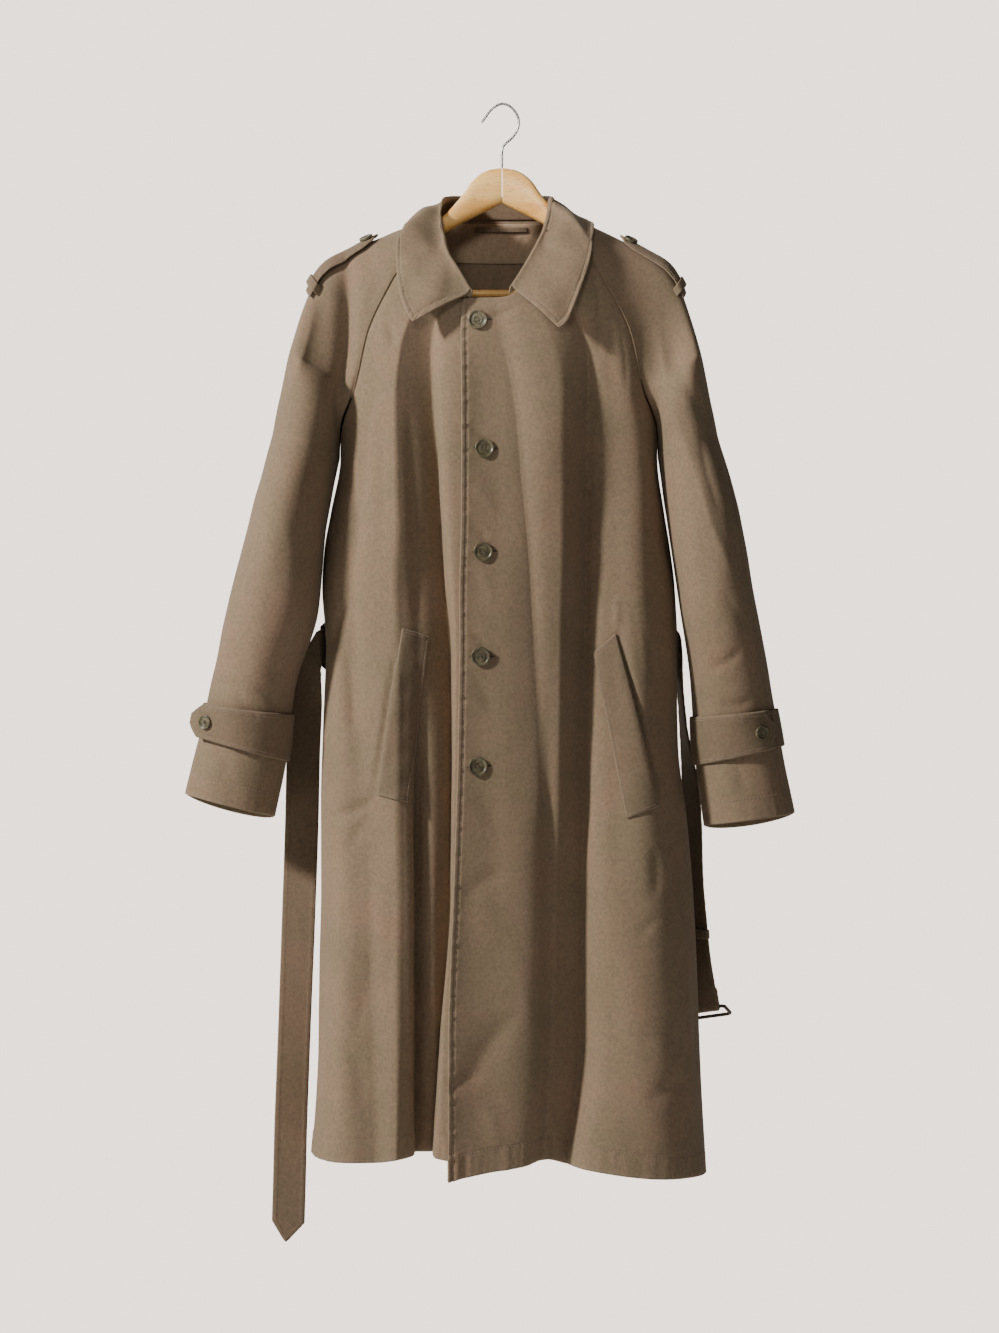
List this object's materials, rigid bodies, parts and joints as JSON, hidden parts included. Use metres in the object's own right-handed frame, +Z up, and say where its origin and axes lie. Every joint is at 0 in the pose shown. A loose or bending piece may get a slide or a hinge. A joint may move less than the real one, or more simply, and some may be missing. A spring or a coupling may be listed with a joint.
{
  "type": "trench coat on a hanger",
  "caption": "Single-breasted raglan trench coat in brown gabardine, hanging buttoned from a wooden hanger with its belt loose, hollow inside.",
  "frame": {"origin": "inner top of the hanger's hook, where a rod carries it", "axes": "+Z up, -Y the coat's front, +X the wearer's left"},
  "size_m": [0.742, 0.2311, 1.3953],
  "materials": {
    "gabardine": "matt twill, slightly worn",
    "beech": "clear satin lacquer",
    "steel_wire": "bright wire",
    "button_horn": "mottled horn look",
    "buckle_cover": "dark leather cover"
  },
  "bodies": {
    "root": {"back": "gabardine", "belt": "gabardine", "belt_keeper": "gabardine", "belt_loop_left": "gabardine", "belt_loop_right": "gabardine", "buckle_frame": "buckle_cover", "button_1": "button_horn", "button_2": "button_horn", "button_3": "button_horn", "button_4": "button_horn", "button_5": "button_horn", "collar": "gabardine", "cuff_button_left": "button_horn", "cuff_button_right": "button_horn", "cuff_strap_left": "gabardine", "cuff_strap_right": "gabardine", "epaulette_button_left": "button_horn", "epaulette_button_right": "button_horn", "epaulette_left": "gabardine", "epaulette_loop_left": "gabardine", "epaulette_loop_right": "gabardine", "epaulette_right": "gabardine", "front_left": "gabardine", "front_right": "gabardine", "hang_loop": "gabardine", "hanger_arm_left": "beech", "hanger_arm_right": "beech", "hanger_bar": "beech", "hanger_hook": "steel_wire", "neck_facing": "gabardine", "pocket_welt_left": "gabardine", "pocket_welt_right": "gabardine", "sleeve_left_back": "gabardine", "sleeve_left_front": "gabardine", "sleeve_right_back": "gabardine", "sleeve_right_front": "gabardine"}
  },
  "joints": []
}
